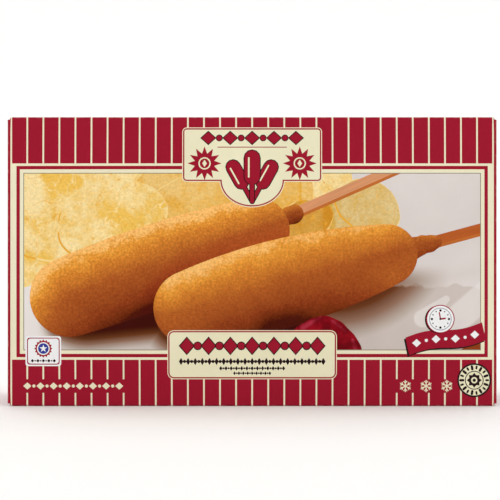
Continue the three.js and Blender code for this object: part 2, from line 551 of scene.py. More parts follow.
def draw_frame(art, blank, sizes):
    """Cream, red, cream and grey lines round a field, whose half width, foot and head it returns."""
    half, foot, head = sizes.frame_half_width, sizes.band, blank.height - sizes.band
    bands = (
        ("cream_lines", 0.0, 0.0),
        ("red_board", sizes.frame_outer_side, sizes.frame_outer),
        ("cream_lines", sizes.frame_red, sizes.frame_red),
        ("keyline", sizes.frame_inner, sizes.frame_inner),
        (None, sizes.keyline, sizes.keyline),
    )
    for ink_name, side_step, step in bands:
        half, foot, head = half - side_step, foot + step, head - step
        if ink_name:
            art.draw(ink_name, rectangle(-half, foot, half, head))
    return half, foot, head


def draw_discs(art, centre, layers):
    """Discs over one another, each an ink and a radius in millimetres."""
    for ink_name, radius in layers:
        art.draw(ink_name, disc(centre, radius * MM))


DOT_SHARE = 0.22  # radius of a row's dots, as a share of the row's height
LOZENGE_SHARE = 0.62  # half the width of its lozenges, as a share of the space for each
POINT_SPREAD = 1.5  # how much farther a rim reaches at a lozenge's points than round a dot


def draw_ornament_row(art, ink_name, centre, width, height, count, rim_ink=None, rim=0.0):
    """Lozenges and dots by turns, round which there may be a rim of another ink."""
    reach = width / count * LOZENGE_SHARE
    layers = ((rim_ink, rim), (ink_name, 0.0)) if rim_ink else ((ink_name, 0.0),)
    for i in range(count):
        spot = (centre[0] + width * ((i + 0.5) / count - 0.5), centre[1])
        for layer_ink, grow in layers:
            spread = grow * POINT_SPREAD
            if i % 2:
                art.draw(layer_ink, disc(spot, height * DOT_SHARE + grow))
            else:
                art.draw(layer_ink, lozenge(spot, reach + spread, height / 2 + spread))


def draw_corn_dog_sign(art, foot, length, lie=QUARTER_TURN):
    """A plain sign of a corn dog on its stick, from the stick's foot."""
    foot, way = Vector(foot), heading(lie)
    width, rim = length * 0.3, 0.45 * MM
    stick_width, gleam_width = width * 0.26, width * 0.11
    low, high = foot + way * length * 0.48, foot + way * (length - width / 2)
    for ink_name, grow in (("black", rim), ("red_board", 0.0)):
        art.draw(ink_name, bar(foot, low, stick_width + 2 * grow))
        art.draw(ink_name, bar(low, high, width + 2 * grow))
    gleam = Vector((way.y, -way.x)) * width * -0.22
    art.draw("plaque", bar(low + gleam, high + gleam, gleam_width))


def draw_plaque(art, sizes, make_outlines):
    """A cream plaque with a red line inside a cream rim. make_outlines(grow) gives its outlines."""
    layers = (
        ("cream_lines", sizes.plaque_rim + sizes.plaque_line),
        ("red_board", sizes.plaque_line),
        ("plaque", 0.0),
    )
    for ink_name, grow in layers:
        for points in make_outlines(grow):
            art.draw(ink_name, points)


def draw_crest(art, sizes):
    """The plaque at the head of the panel, with a round drop. It bears a row of ornament over a
    rule, a fan of three signs and a starburst on either side of them."""
    outer = sizes.plaque_rim + sizes.plaque_line
    half = sizes.crest_half_width - outer
    foot, head = sizes.crest_foot + outer, sizes.crest_head - outer
    drop = (0, sizes.crest_drop_height)

    def outlines(grow):
        corner = sizes.plaque_corner + grow - outer
        yield rounded_rectangle(-half - grow, foot - grow, half + grow, head + grow, corner)
        inset = outer - grow
        drop_width, drop_height = sizes.crest_drop_half_width, sizes.crest_drop_half_height
        yield ellipse(drop, drop_width - inset, drop_height - inset, 90)

    draw_plaque(art, sizes, outlines)
    row_centre, rim = (0, 125.2 * MM), 0.4 * MM
    draw_ornament_row(art, "red_board", row_centre, 46 * MM, 5.6 * MM, 9, "black", rim)
    rule_half, rule_height, rule_width = 16 * MM, 120.9 * MM, 0.4 * MM
    art.draw("red_board", bar((-rule_half, rule_height), (rule_half, rule_height), rule_width))
    fan_foot, fan_angle = (0, 95.6 * MM), math.radians(29)
    for side in (-1, 1):
        draw_corn_dog_sign(art, fan_foot, 21.5 * MM, QUARTER_TURN - side * fan_angle)
    draw_corn_dog_sign(art, fan_foot, 23.8 * MM)
    for side in (-1, 1):
        draw_starburst(art, (side * 22.2 * MM, 113.3 * MM))


def draw_starburst(art, centre):
    """A red star that bears a ring with a lozenge in it."""
    art.draw("red_board", star(centre, 7.9 * MM, 4.7 * MM, 12))
    draw_discs(art, centre, (("plaque", 2.9), ("red_board", 2.3)))
    art.draw("plaque", lozenge(centre, 1.1 * MM, 1.7 * MM))


TITLE_ROWS = (  # the small ones: height over the foot, width and depth in millimetres, and count
    (8.3, 68, 3.4, 41),
    (5.1, 30.5, 2.1, 25),
    (2.8, 17.5, 1.8, 17),
)


def draw_title(art, sizes, foot):
    """The plaque across the foot of the panel: a large row of ornament over three small ones."""
    outer = sizes.plaque_rim + sizes.plaque_line
    half, head = sizes.title_half_width - outer, foot + sizes.title_head - sizes.title_foot

    def outlines(grow):
        low, high = foot + outer - grow, head - outer + grow
        yield rounded_rectangle(-half - grow, low, half + grow, high, sizes.plaque_corner + grow)

    draw_plaque(art, sizes, outlines)
    row_centre, rim = (0, foot + 15.6 * MM), 0.45 * MM
    draw_ornament_row(art, "red_board", row_centre, 66 * MM, 7.4 * MM, 13, "black", rim)
    for height, width, depth, count in TITLE_ROWS:
        draw_ornament_row(art, "black", (0, foot + height * MM), width * MM, depth * MM, count)


CornDog = namedtuple("CornDog", "name body collar stick way")
COLLAR_START = 0.62  # from the batter's end to its collar's start, in radii of the end
COLLAR_BELLY = 0.3 * MM
STICK_REACH = 120  # millimetres from the batter's end, which runs past the frame


def corn_dog(picture, name):
    """The near ("front") or the far ("back") corn dog: the batter and its collar as rounded
    bodies, the width of the stick and its direction."""

    def size(part):
        return getattr(picture, f"{name}_{part}")

    end, way = Vector(size("end")), heading(size("lie"))
    end_radius, edge = size("end_radius"), size("collar_edge")
    body = Body(Vector(size("tip")), end, size("tip_radius"), end_radius, size("belly"))
    start = end + way * end_radius * COLLAR_START
    stop = end + way * (end_radius + size("collar") - edge)
    collar = Body(start, stop, size("collar_root"), edge, COLLAR_BELLY)
    return CornDog(name, body, collar, size("stick"), way)


def corn_dogs(picture):
    """The near corn dog and the far one."""
    return corn_dog(picture, "front"), corn_dog(picture, "back")


def draw_corn_dog(art, dog):
    """A stick with an upper and a lower face, the collar of batter on it, and the battered body."""
    across = Vector((-dog.way.y, dog.way.x)) * dog.stick
    start, end = dog.body.end, dog.body.end + dog.way * STICK_REACH * MM
    edge = -0.25  # between the faces, as a share of the stick's width from its middle
    for face, low, high in (("_stick_side", -0.5, edge), ("_stick", edge, 0.5)):
        low, high = across * low, across * high
        art.draw(dog.name + face, (start + low, end + low, end + high, start + high))
    knob = dog.collar.start.lerp(dog.collar.end, 0.6)
    collar = uneven(body_outline(dog.collar, 14), knob, amount=0.2, seed=1)
    art.draw(dog.name + "_collar", collar)
    art.draw(dog.name + "_corn_dog", body_outline(dog.body))


# A round or oval thing on the plate, in millimetres and degrees.
Patch = namedtuple("Patch", "centre half_width half_height lie tone", defaults=(None,))
CHIPS = (  # from the farthest to the nearest
    Patch((-68, 106), 22, 12, 0, "pale"),
    Patch((-28, 104), 27, 13, 5, "golden"),
    Patch((-26, 92), 25, 17, 20, "golden"),
    Patch((-107, 66), 14, 10, 20, "pale"),
    Patch((-95, 91), 24, 23, 75, "pale"),
    Patch((-66, 87), 26, 19, 14, "pale"),
    Patch((-82.7, 78.8), 5.2, 2.5, -14, "pale"),
    Patch((32, 106), 14.5, 10, 5, "pale"),
    Patch((12, 97), 18.5, 16, 60, "golden"),
    Patch((40, 89), 8.5, 8, 0, "olive"),
    Patch((21.5, 84.5), 18, 10, 25, "deep"),
    Patch((54, 93), 16.5, 12, -27, "olive"),
)
CHIP_UNEVENNESS = 0.08
RIM_WIDTH, RIM_SHIFT = 0.5, (0.25, 0.3)  # a rim is wider at a chip's lower left
SAUCE = Patch((33.2, 26.4), 17.4, 15, -12)
SAUCE_UNEVENNESS, SAUCE_SEED = 0.13, 190


def uneven(points, centre, amount, seed):
    """The outline with its distance from a centre made uneven."""
    rng = random.Random(seed)
    waves = [(k, rng.uniform(0.3, 1.0) / k, rng.uniform(0, math.tau)) for k in (2, 3, 5, 8, 13)]
    outline = []
    for point in points:
        arm = Vector(point) - centre
        angle = math.atan2(arm.y, arm.x)
        factor = 1 + amount * sum(size * math.cos(k * angle + start) for k, size, start in waves)
        outline.append(tuple(centre + arm * factor))
    return outline


def patch_outline(patch, unevenness, seed, grow=0.0, shift=(0, 0)):
    """An ellipse with an uneven edge, as wide and high as the patch and "grow" besides."""
    centre = (Vector(patch.centre) + Vector(shift)) * MM
    turn = Matrix.Rotation(math.radians(patch.lie), 2)
    size = Vector((patch.half_width + grow, patch.half_height + grow)) * MM
    around = arc((0, 0), 1, 0, math.tau, 90)[:-1]
    outline = [centre + turn @ (Vector(point) * size) for point in around]
    return uneven(outline, centre, unevenness, seed)


def draw_picture(art, picture, corners):
    """Two corn dogs on a plate, with chips behind them and sauce in front."""
    half, foot, head = corners
    art.open_window(rectangle(-half, foot, half, head))
    art.draw("plate", rectangle(-half, foot, half, head))
    for i, chip in enumerate(CHIPS):
        art.draw("chip_rims", patch_outline(chip, CHIP_UNEVENNESS, i))
        flesh = patch_outline(chip, CHIP_UNEVENNESS, i, -RIM_WIDTH, RIM_SHIFT)
        art.draw(chip.tone + "_chips", flesh)
    front, back = corn_dogs(picture)
    draw_corn_dog(art, back)
    draw_corn_dog(art, front)
    art.draw("sauce", patch_outline(SAUCE, SAUCE_UNEVENNESS, SAUCE_SEED))
    art.close_window()


def draw_sticker(art):
    """A small white label with a plain rosette, at the picture's lower left corner."""
    left, foot, right, head = (-105.8 * MM, 18.7 * MM, -89.1 * MM, 32.7 * MM)
    for ink_name, inset in (("white", 0.0), ("red_board", 0.7 * MM), ("white", 1.15 * MM)):
        box = (left + inset, foot + inset, right - inset, head - inset)
        art.draw(ink_name, rounded_rectangle(*box, 1.2 * MM))
    middle = (left + right) / 2
    rosette = (middle, 26.9 * MM)
    art.draw("red_board", star(rosette, 4.3 * MM, 3.5 * MM, 16))
    draw_discs(art, rosette, (("white", 3.0), ("blue", 2.5)))
    art.draw("white", star(rosette, 1.9 * MM, 0.75 * MM, 5))
    draw_ornament_row(art, "black", (middle, 21.2 * MM), 11.5 * MM, 1.6 * MM, 9)


def draw_ribbon(art):
    """A waving red ribbon with a dark shadow, across the picture's lower right corner."""
    left, right, slant = 72.4 * MM, 108.2 * MM, 0.9 * MM
    foot, rise, wave, half = 27.9 * MM, 7.1 * MM, 1.1 * MM, 4.15 * MM

    def along(share):
        return left + (right - left) * share

    def middle(share):
        return foot + rise * share + wave * math.sin(math.tau * share)

    def outline(shift):
        shares = [i / 24 for i in range(25)]
        lower = [(along(share) + slant, middle(share) - half) for share in shares]
        upper = [(along(share) - slant, middle(share) + half) for share in reversed(shares)]
        return [(u + shift, v + shift) for u, v in lower + upper]

    art.draw("black", outline(-0.75 * MM))
    art.draw("red_board", outline(0))
    last = 6
    for i in range(last + 1):
        share = 0.12 + 0.76 * i / last
        spot = (along(share), middle(share))
        shape = disc(spot, 0.75 * MM) if i % 2 else lozenge(spot, 2.1 * MM, 1.9 * MM)
        art.draw("white", shape)


def draw_clock(art):
    """A plain dial above the ribbon, with ticks and two hands at three o'clock."""
    centre = Vector((87.8, 40.7)) * MM
    shadow = centre + Vector((-0.7, -0.2)) * MM
    art.draw("black", disc(shadow, 6.6 * MM))
    draw_discs(art, centre, (("red_board", 6.65), ("white", 6.2), ("steel", 5.3), ("white", 4.9)))
    tick_ring, large_tick, small_tick = 4.0, 0.58, 0.33
    for hour in range(12):
        spot = centre + heading(math.tau * hour / 12) * tick_ring * MM
        art.draw("black", disc(spot, (small_tick if hour % 3 else large_tick) * MM, 10))
    for tip, width in (((-0.5, 3.0), 0.6), ((2.2, 0.3), 0.8)):
        art.draw("red_board", bar(centre, centre + Vector(tip) * MM, width * MM))
    art.draw("black", disc(centre, 0.5 * MM, 10))


def draw_seal(art):
    """A round plain stamp like a wheel, near the panel's lower right corner."""
    centre = Vector((103.7, 12.1)) * MM
    draw_discs(art, centre, (("black", 7.95), ("plaque", 7.15), ("black", 4.4), ("plaque", 4.0)))
    spokes, rim = 18, 6.5
    for i in range(spokes):
        way = heading(math.tau * i / spokes) * MM
        root, width = (5.2, 1.15) if i % 2 else (5.6, 0.9)
        art.draw("black", bar(centre + way * root, centre + way * rim, width * MM))
    art.draw("black", star(centre, 3.5 * MM, 2.5 * MM, 8))
    art.draw("plaque", disc(centre, 1.5 * MM))
    art.draw("black", disc(centre, 0.8 * MM, 10))


def draw_snowflake(art, centre, reach):
    """Six arms, each forked halfway."""
    centre, width = Vector(centre), reach * 0.2
    for i in range(6):
        way = heading(math.tau * (i + 0.5) / 6)
        side = Vector((-way.y, way.x))
        art.draw("cream_lines", bar(centre, centre + way * reach, width))
        root = centre + way * reach * 0.55
        for turn in (-1, 1):
            tip = root + (way + side * turn) * reach * 0.28
            art.draw("cream_lines", bar(root, tip, width * 0.85))


def draw_foot_notes(art):
    """Rows of cream ornament on plain red, left and right at the front panel's foot."""
    foot, head = 6.2 * MM, 12.6 * MM
    middle = (foot + head) / 2
    for left, right in ((-109, -58), (66.5, 96)):
        art.draw("red_board", rectangle(left * MM, foot, right * MM, head))
    draw_ornament_row(art, "cream_lines", (-83.5 * MM, middle), 46 * MM, 3.4 * MM, 15)
    for u in (71.5, 81.2, 90.9):
        draw_snowflake(art, (u * MM, middle), 2.6 * MM)


def draw_back(art, corners):
    """A plain cream field inside the frame, with rows of ornament, three signs and a table."""
    half, foot, head = corners
    art.draw("plaque", rectangle(-half, foot, half, head))
    for ink_name, inset in (("red_board", 3.2 * MM), ("plaque", 3.7 * MM)):
        art.draw(ink_name, rectangle(-half + inset, foot + inset, half - inset, head - inset))
    middle, table_half = (foot + head) / 2, 31 * MM
    draw_back_rows(art, middle)
    draw_table(art, (42 * MM, middle - table_half, 98 * MM, middle + table_half), 10)
    for column in (-1, 0, 1):
        draw_corn_dog_sign(art, (column * 13 * MM, 47 * MM), 30 * MM)


def draw_back_rows(art, middle):
    """Nine rows of ornament. The first and every fourth after it are red and short, and the
    first is set in."""
    pitch, long_row, short_row = 7.2, 58, 42
    for row in range(9):
        ink_name, width = ("black", long_row) if row % 4 else ("red_board", short_row)
        left = -98 * MM if row else -86 * MM
        centre = (left + width * MM / 2, middle + (4 - row) * pitch * MM)
        count = 2 * round(width / 3) + 1
        draw_ornament_row(art, ink_name, centre, width * MM, 2.2 * MM, count)


def draw_table(art, corners, rows):
    """A ruled box with a dark head and rows of marks."""
    left, foot, right, head = corners
    art.draw("black", rectangle(left, foot, right, head))
    line, pitch = 0.4 * MM, (head - foot) / rows
    for row in range(rows - 1):
        low = foot + row * pitch
        art.draw("plaque", rectangle(left + line, low + line, right - line, low + pitch))
        height = low + (pitch + line) / 2
        for start, end in ((0.06, 0.32 + 0.2 * (row % 3)), (0.82, 0.94)):
            ends = [(left + (right - left) * share, height) for share in (start, end)]
            art.draw("black", bar(*ends, 1.1 * MM))
    spot = ((left + right) / 2, head - pitch / 2)
    draw_ornament_row(art, "plaque", spot, (right - left) * 0.7, 2.6 * MM, 13)


def draw_print(blank, print_sizes, picture):
    """The whole print of the carton."""
    art = Artwork()
    for points in blank.outlines():
        art.draw("red_board", points)
    draw_stripes(art, blank, print_sizes)
    draw_picture(art, picture, draw_frame(art, blank, print_sizes))
    draw_foot_notes(art)
    draw_crest(art, print_sizes)
    draw_title(art, print_sizes, print_sizes.title_foot)
    draw_sticker(art)
    draw_ribbon(art)
    draw_clock(art)
    draw_seal(art)
    plaque_foot = (blank.depth - print_sizes.title_head + print_sizes.title_foot) / 2
    art.place(blank.top)
    draw_title(art, print_sizes, plaque_foot)
    art.place(blank.back + blank.height, turned=True)
    draw_back(art, draw_frame(art, blank, print_sizes))
    draw_crest(art, print_sizes)
    draw_title(art, print_sizes, print_sizes.title_foot)
    return art.outlines


# --- Pieces ---


class CutBlank:
    """The blank cut along its print. A region is the triangles of one ink, under its name."""

    NEAR = 1e-4  # millimetres; points less than this apart become one

    def __init__(self, blank, outlines):
        board_count = len(list(blank.outlines()))
        self.blank = blank
        points, faces, edges = [], [], []  # for the cutting, which is done in millimetres
        for outline in outlines:
            faces.append(list(range(len(points), len(points) + len(outline.points))))
            points += [Vector(point) / MM for point in outline.points]
        for start, end in blank.bend_lines():
            edges.append((len(points), len(points) + 1))
            points += [Vector(start) / MM, Vector(end) / MM]
        found = delaunay_2d_cdt(points, edges, faces, 0, self.NEAR, True)
        places, triangles, covers_of_each = found[0], found[2], found[5]
        self.points = [place * MM for place in places]
        self.regions = {}
        for triangle, covers in zip(triangles, covers_of_each):
            if not any(cover < board_count for cover in covers):
                continue
            seen = max(
                cover
                for cover in covers
                if outlines[cover].ink != WINDOW
                and (outlines[cover].window is None or outlines[cover].window in covers)
            )
            self.regions.setdefault(outlines[seen].ink, []).append(triangle)


def uv_map(mesh, name, corners):
    """Adds a map of the mesh's corners."""
    layer = mesh.uv_layers.new(name=name)
    layer.data.foreach_set("uv", [value for corner in corners for value in corner])


def make_mesh(name, places, faces, corners, material):
    """A mesh with the maps that the materials read: where each corner lies on the blank, and
    the same place as a share of the piece's own extent."""
    mesh = bpy.data.meshes.new(name)
    mesh.from_pydata(places, [], faces)
    mesh.materials.append(material)
    left = min(u for u, _ in corners)
    foot = min(v for _, v in corners)
    extent = max(max(u - left, v - foot) for u, v in corners)
    uv_map(mesh, "OFBake", [((u - left) / extent, (v - foot) / extent) for u, v in corners])
    uv_map(mesh, "Print", corners)
    return mesh


def add_piece(mesh):
    """Puts a mesh in the scene as a printed piece of the carton."""
    piece = bpy.data.objects.new(mesh.name, mesh)
    bpy.context.scene.collection.objects.link(piece)
    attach(piece, "root")
    return piece


def fold_region(cut, ink_name, material):
    """Folds up one ink's region of the blank as a piece."""
    blank, triangles = cut.blank, cut.regions[ink_name]
    used = sorted({i for triangle in triangles for i in triangle})
    order = {old: new for new, old in enumerate(used)}
    faces = [[order[i] for i in triangle] for triangle in triangles]
    folded = [blank.fold(*cut.points[i]) for i in used]
    corners = [cut.points[i] for triangle in triangles for i in triangle]
    mesh = make_mesh(ink_name, [place for place, _ in folded], faces, corners, material)
    crease = mesh.attributes.new("crease", "FLOAT", "POINT")
    crease.data.foreach_set("value", [blank.crease(*cut.points[i]) for i in used])
    mesh.shade_smooth()
    mesh.normals_split_custom_set_from_vertices([normal for _, normal in folded])
    return add_piece(mesh)


def fold_bare_board(blank, material):
    """The unprinted inner side of the board and its cut edges."""
    cut = CutBlank(blank, [Outline("board", points, None) for points in blank.outlines()])
    triangles = cut.regions["board"]
    count = len(cut.points)
    inset = 0.9 * blank.sizes.board  # under a whole board, to stay clear of the flap inside
    places = [blank.fold(*point)[0] for point in cut.points]
    places += [blank.fold(*point, inset)[0] for point in cut.points]
    faces = [[i + count for i in reversed(triangle)] for triangle in triangles]
    sides = {(triangle[i - 1], triangle[i]) for triangle in triangles for i in range(3)}
    faces += [[a, a + count, b + count, b] for a, b in sorted(sides) if (b, a) not in sides]
    corners = [cut.points[i % count] for face in faces for i in face]
    return add_piece(make_mesh("bare_board", places, faces, corners, material))


# --- Materials ---


class Nodes:
    """Adds nodes to a new material. Inputs are sockets or plain values, and outputs are sockets.
    Coordinates are metres on the print, so noise at a scale of 1000 has grains of a millimetre."""

    def __init__(self, name):
        self.material = bpy.data.materials.new(name)
        self.material.use_nodes = True
        self.tree = self.material.node_tree
        self.shader = self.tree.nodes["Principled BSDF"]
        self.place = self.add("UVMap", {}, uv_map="Print").outputs[0]

    def feed(self, socket, value):
        """Links a socket to a value that is a socket, and sets it to any other."""
        if isinstance(value, bpy.types.NodeSocket):
            self.tree.links.new(value, socket)
        elif socket.type == "RGBA":
            socket.default_value = (*value, 1)
        else:
            socket.default_value = value

    def surface(self, name, value):
        """Feeds one of the shader's own sockets."""
        self.feed(self.shader.inputs[name], value)

    def add(self, kind, inputs, **settings):
        """A node of a kind, with its settings made and its inputs fed, by name or by number."""
        node = self.tree.nodes.new("ShaderNode" + kind)
        for name, value in settings.items():
            setattr(node, name, value)
        for key, value in inputs.items():
            self.feed(node.inputs[key], value)
        return node

    def math(self, operation, *values):
        """What a Math node makes of some values."""
        return self.add("Math", dict(enumerate(values)), operation=operation).outputs[0]

    def tone(self, colour, factor, shift=0.0):
        """The colour times a factor, moved by a shift, and never below black."""
        inputs = {0: self.grey(factor), 1: colour, 2: (shift, shift, shift)}
        moved = self.add("VectorMath", inputs, operation="MULTIPLY_ADD").outputs[0]
        return self.add("VectorMath", {0: moved, 1: (0, 0, 0)}, operation="MAXIMUM").outputs[0]

    def times(self, first, second):
        """One colour times another, level by level."""
        return self.add("VectorMath", {0: first, 1: second}, operation="MULTIPLY").outputs[0]

    def grey(self, level):
        """A level as a colour without a hue."""
        return self.add("CombineXYZ", {0: level, 1: level, 2: level}).outputs[0]

    def mix(self, factor, first, second):
        """Sockets 6 and 7 of a Mix node are its two colours, and 2 is the colour it gives."""
        return self.add("Mix", {0: factor, 6: first, 7: second}, data_type="RGBA").outputs[2]

    def ease(self, value, low, high, start=0.0, end=1.0):
        """Goes smoothly from start to end while a value goes from low to high."""
        inputs = {"Value": value, "From Min": low, "From Max": high, "To Min": start, "To Max": end}
        return self.add("MapRange", inputs, interpolation_type="SMOOTHSTEP").outputs[0]

    def noise(self, place, scale, detail=2.0, roughness=0.5):
        """A level that varies over the print, 0.5 on average."""
        inputs = {"Vector": place, "Scale": scale, "Detail": detail, "Roughness": roughness}
        return self.add("TexNoise", inputs, noise_dimensions="2D").outputs[0]

    def veins(self, scale, detail, width, strength):
        """Thin winding lines, which run where a noise passes its middle."""
        level = self.around(self.noise(self.place, scale, detail), 2.0)
        return self.ease(self.math("ABSOLUTE", level), 0.0, width, strength, 0.0)

    def ramp(self, factor, stops):
        """A colour picked by a factor from stops, each a position and a colour."""
        node = self.add("ValToRGB", {0: factor})
        elements = node.color_ramp.elements
        for i, (position, colour) in enumerate(stops):
            element = elements[i] if i < 2 else elements.new(position)
            element.position = position
            element.color = (*colour, 1)
        return node.outputs[0]

    def around(self, value, size):
        """Turns a noise, which is 0.5 on average, into a small change to either side of 0."""
        return self.math("MULTIPLY_ADD", value, size, -size / 2)

    def local(self, origin, lie, scale):
        """Coordinates along and across a line that lies on the print, joined and apart."""
        place = {"Location": (*origin, 0), "Rotation": (0, 0, lie), "Scale": scale}
        mapping = self.add("Mapping", {"Vector": self.place, **place}, vector_type="TEXTURE")
        vector = mapping.outputs[0]
        return vector, self.add("SeparateXYZ", {0: vector}).outputs


SHEEN = 0.004  # what the varnish adds to a colour, which the ink under it has less of


def finish_board(nodes, colour, board_colour):
    """Coated boxboard: mottled ink, worn pale along the folds, under a dull varnish."""
    cloud = nodes.noise(nodes.place, 38.0, 3.0)
    grain = nodes.noise(nodes.place, 2400.0, 2.0)
    level = nodes.math("ADD", nodes.around(cloud, 0.09), nodes.around(grain, 0.06))
    colour = nodes.tone(colour, nodes.math("ADD", level, 1.0), -SHEEN)
    crease = nodes.add("Attribute", {}, attribute_name="crease").outputs["Fac"]
    scuff = nodes.noise(nodes.place, 330.0, 5.0, 0.7)
    worn = nodes.ease(nodes.math("MULTIPLY", crease, scuff), 0.40, 0.66, 0.0, 0.6)
    nodes.surface("Base Color", nodes.mix(worn, colour, board_colour))
    nodes.surface("Roughness", nodes.ease(scuff, 0.2, 0.8, 0.42, 0.52))
    nodes.surface("Specular IOR Level", 0.06)
    bump = {"Height": nodes.math("ADD", grain, cloud), "Strength": 0.12, "Distance": 0.1 * MM}
    nodes.surface("Normal", nodes.add("Bump", bump).outputs[0])
    return nodes.material


def flat_ink(name, colour, board_colour):
    """Printed board of one colour."""
    return finish_board(Nodes(name), colour, board_colour)


def bare_board(board_colour):
    """Unprinted greyish boxboard with fine fibres."""
    nodes = Nodes("bare_board")
    along_fibres, _ = nodes.local((0, 0), 0.4, (1, 0.12, 1))
    fibres = nodes.noise(along_fibres, 900.0, 4.0)
    level = nodes.math("ADD", fibres, nodes.around(nodes.noise(nodes.place, 60.0), 0.4))
    dark = Vector(board_colour) * 0.82
    nodes.surface("Base Color", nodes.mix(level, dark, board_colour))
    nodes.surface("Roughness", nodes.ease(level, 0.2, 0.8, 0.75, 0.9))
    return nodes.material


PICTURE_LIGHT = Vector((-0.43, 0.85, 0.28)).normalized()  # left, up and towards the viewer


Rounded = namedtuple("Rounded", "distance shine share along across")


def rounded(nodes, body):
    """Where each point of the print lies on a rounded body: its distance from the body's axis,
    in radii, how much of the pictured light it gets, from -1 to 1, the share of the way from
    start to end of the nearest point of the axis, and its place from there, in radii."""
    axis = body.end - body.start
    lie = math.atan2(axis.y, axis.x)
    _, (s, t, _) = nodes.local(body.start, lie, (axis.length, axis.length, 1))
    share = nodes.math("MINIMUM", nodes.math("MAXIMUM", s, 0.0), 1.0)
    widening = (body.end_radius - body.start_radius) / axis.length
    radius = nodes.math("MULTIPLY_ADD", share, widening, body.start_radius / axis.length)
    swell = nodes.math("MULTIPLY", share, nodes.math("SUBTRACT", 1.0, share))
    radius = nodes.math("MULTIPLY_ADD", swell, 4 * body.belly / axis.length, radius)
    x = nodes.math("DIVIDE", nodes.math("SUBTRACT", s, share), radius)
    y = nodes.math("DIVIDE", t, radius)
    square = nodes.math("MULTIPLY_ADD", x, x, nodes.math("MULTIPLY", y, y))
    distance = nodes.math("SQRT", square)
    z = nodes.math("SQRT", nodes.math("MAXIMUM", nodes.math("SUBTRACT", 1.0, square), 0.0))
    light = Vector(PICTURE_LIGHT[:2])
    light.rotate(Matrix.Rotation(-lie, 2))
    shine = nodes.math("MULTIPLY_ADD", x, light.x, nodes.math("MULTIPLY", y, light.y))
    shine = nodes.math("MULTIPLY_ADD", z, PICTURE_LIGHT.z, shine)
    return Rounded(distance, shine, share, x, y)


def soft_spot(nodes, body, core, reach):
    """1 within "core" radii of a body's axis, falling to 0 at "reach" radii."""
    return nodes.ease(rounded(nodes, body).distance, core, reach, 1.0, 0.0)


# How batter is lit. Its tone is "level" where the light only grazes it, and up to "contrast"
# more or less elsewhere. It loses "fade" on its way to the stick. The plate gives "lift" back to
# the underside, and more of it near both ends as "bounce" grows. The gleams are what the rounds
# of its tip and of its end gain at their edge, and "grit" is how much its finest grain shows.
Lighting = namedtuple(
    "Lighting",
    "level contrast fade lift bounce tip_gleam end_gleam grit",
    defaults=(0.0, 0.21, 0.0, 0.22, 0.22, 0.11),
)
FRONT_LIGHT = Lighting(0.511, 0.49, fade=0.07, lift=0.05, bounce=1.4, tip_gleam=-0.03, grit=0.05)
BACK_LIGHT = Lighting(0.45, 0.53, lift=0.12, bounce=1.4, tip_gleam=0.30)
FRONT_COLLAR_LIGHT = Lighting(0.42, 0.30)
BACK_COLLAR_LIGHT = Lighting(0.34, 0.40)


def batter_level(nodes, body, lighting):
    """How light the batter of a rounded body is, from 0 to 1, before its grain."""
    spot = rounded(nodes, body)
    level = nodes.math("MULTIPLY_ADD", spot.shine, lighting.contrast, lighting.level)
    level = nodes.math("MULTIPLY_ADD", spot.share, -lighting.fade, level)
    gleam = nodes.ease(spot.share, 0.0, 0.5, lighting.tip_gleam, lighting.end_gleam)
    level = nodes.math("MULTIPLY_ADD", nodes.math("MULTIPLY", spot.along, spot.along), gleam, level)
    away = nodes.math("SUBTRACT", spot.share, 0.38)
    away = nodes.math("MULTIPLY", away, away)
    lift = nodes.math("MULTIPLY_ADD", away, lighting.bounce, lighting.lift)
    low = nodes.math("MAXIMUM", nodes.math("MULTIPLY", spot.across, -1.0), 0.0)
    return nodes.math("MULTIPLY_ADD", low, lift, level)


def batter(name, body, colours, board_colour, lighting, contact=None, shaded_by=None):
    """Fried batter on a rounded body: golden on top, dark brown underneath, finely grained. It
    is darkest at a contact, and ruddy where another body shades it."""
    nodes = Nodes(name)
    level = batter_level(nodes, body, lighting)
    if shaded_by:
        shade = soft_spot(nodes, shaded_by, 1.0, 1.5)
        level = nodes.math("MULTIPLY_ADD", shade, -0.03, level)
    if contact:
        level = nodes.math("MULTIPLY_ADD", soft_spot(nodes, contact, 0.2, 1.6), -0.16, level)
    grain = nodes.noise(nodes.place, 900.0, 3.0, 0.7)
    for scale, size in ((110.0, 0.12), (420.0, 0.10)):
        level = nodes.math("ADD", level, nodes.around(nodes.noise(nodes.place, scale, 3.0), size))
    level = nodes.math("ADD", level, nodes.around(grain, lighting.grit))
    stops = (
        (0.10, colours.batter_deep),
        (0.38, colours.batter_low),
        (0.63, colours.batter_middle),
        (0.82, colours.batter_high),
        (0.91, colours.batter_bright),
        (0.98, colours.batter_gleam),
    )
    colour = nodes.tone(nodes.ramp(level, stops), nodes.ease(grain, 0.25, 0.75, 0.84, 1.15))
    ruddy = nodes.ease(nodes.noise(nodes.place, 300.0, 4.0, 0.7), 0.52, 0.70, 0.0, 0.4)
    colour = nodes.mix(ruddy, colour, nodes.times(colour, (0.90, 0.74, 0.80)))
    if shaded_by:
        colour = nodes.mix(shade, colour, nodes.times(colour, (1.0, 0.80, 0.95)))
    specks = nodes.ease(nodes.noise(nodes.place, 1000.0, 2.0), 0.72, 0.80, 0.0, 0.4)
    colour = nodes.mix(specks, colour, nodes.tone(colour, 1.3))
    return finish_board(nodes, colour, board_colour)


